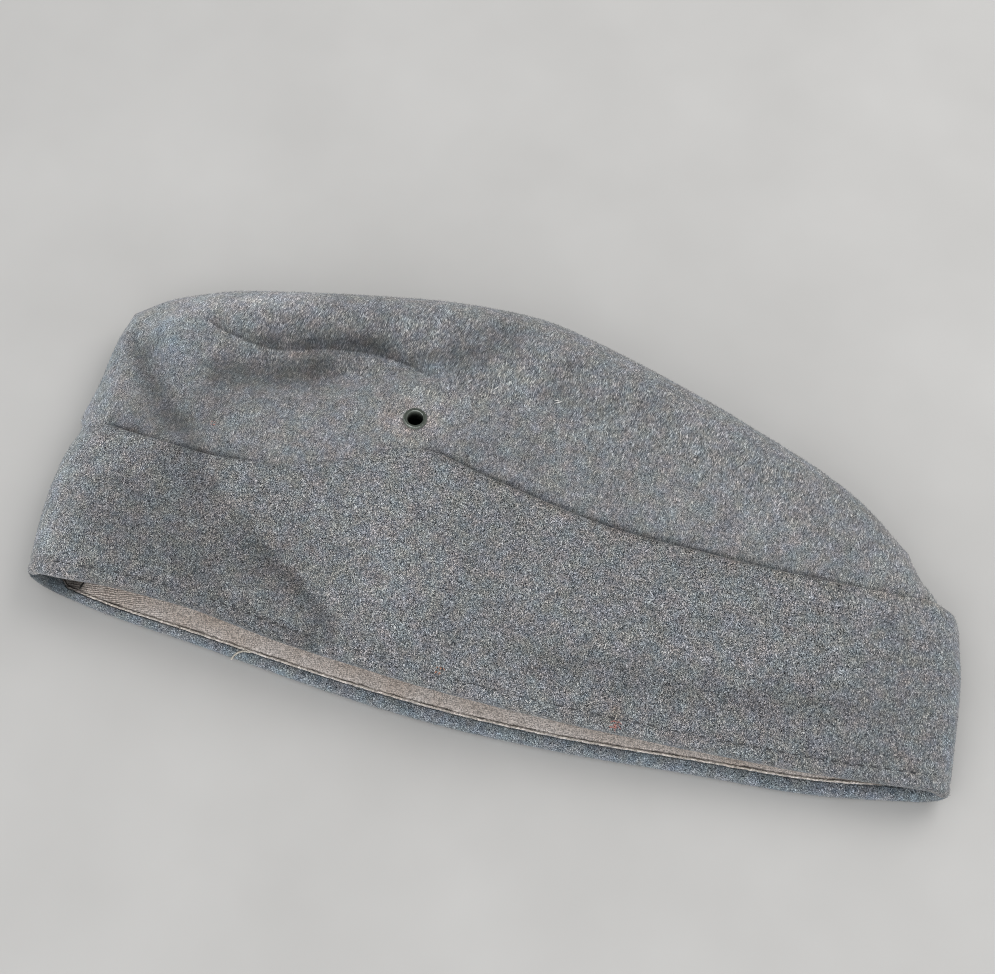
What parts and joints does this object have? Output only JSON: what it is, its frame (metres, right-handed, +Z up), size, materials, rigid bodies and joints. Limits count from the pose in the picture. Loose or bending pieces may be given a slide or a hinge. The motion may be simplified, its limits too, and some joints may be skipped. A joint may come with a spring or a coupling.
{
  "type": "side cap",
  "caption": "Flat-folding grey wool side cap lying on its side, with a scalloped turned-up curtain, creased crown, painted air eyelets and a cotton-lined open mouth.",
  "frame": {"origin": "on the floor, under the middle of the cap's bounding box", "axes": "+X along the cap from its front to its rear, +Y from the mouth to the ridge of the crown, +Z up from the right side, which lies on the floor, to the left side"},
  "size_m": [0.2816, 0.1332, 0.0278],
  "materials": {
    "wool": "milled woollen cloth, grey with mixed light, blue and brown fibres",
    "lining": "tan cotton twill",
    "eyelet": "worn grey-green paint"
  },
  "bodies": {
    "root": {"crown_left": "wool", "crown_right": "wool", "curtain_left": "wool", "curtain_right": "wool", "lining_left": "lining", "lining_right": "lining", "eyelet_left": "eyelet", "eyelet_right": "eyelet"}
  },
  "joints": []
}
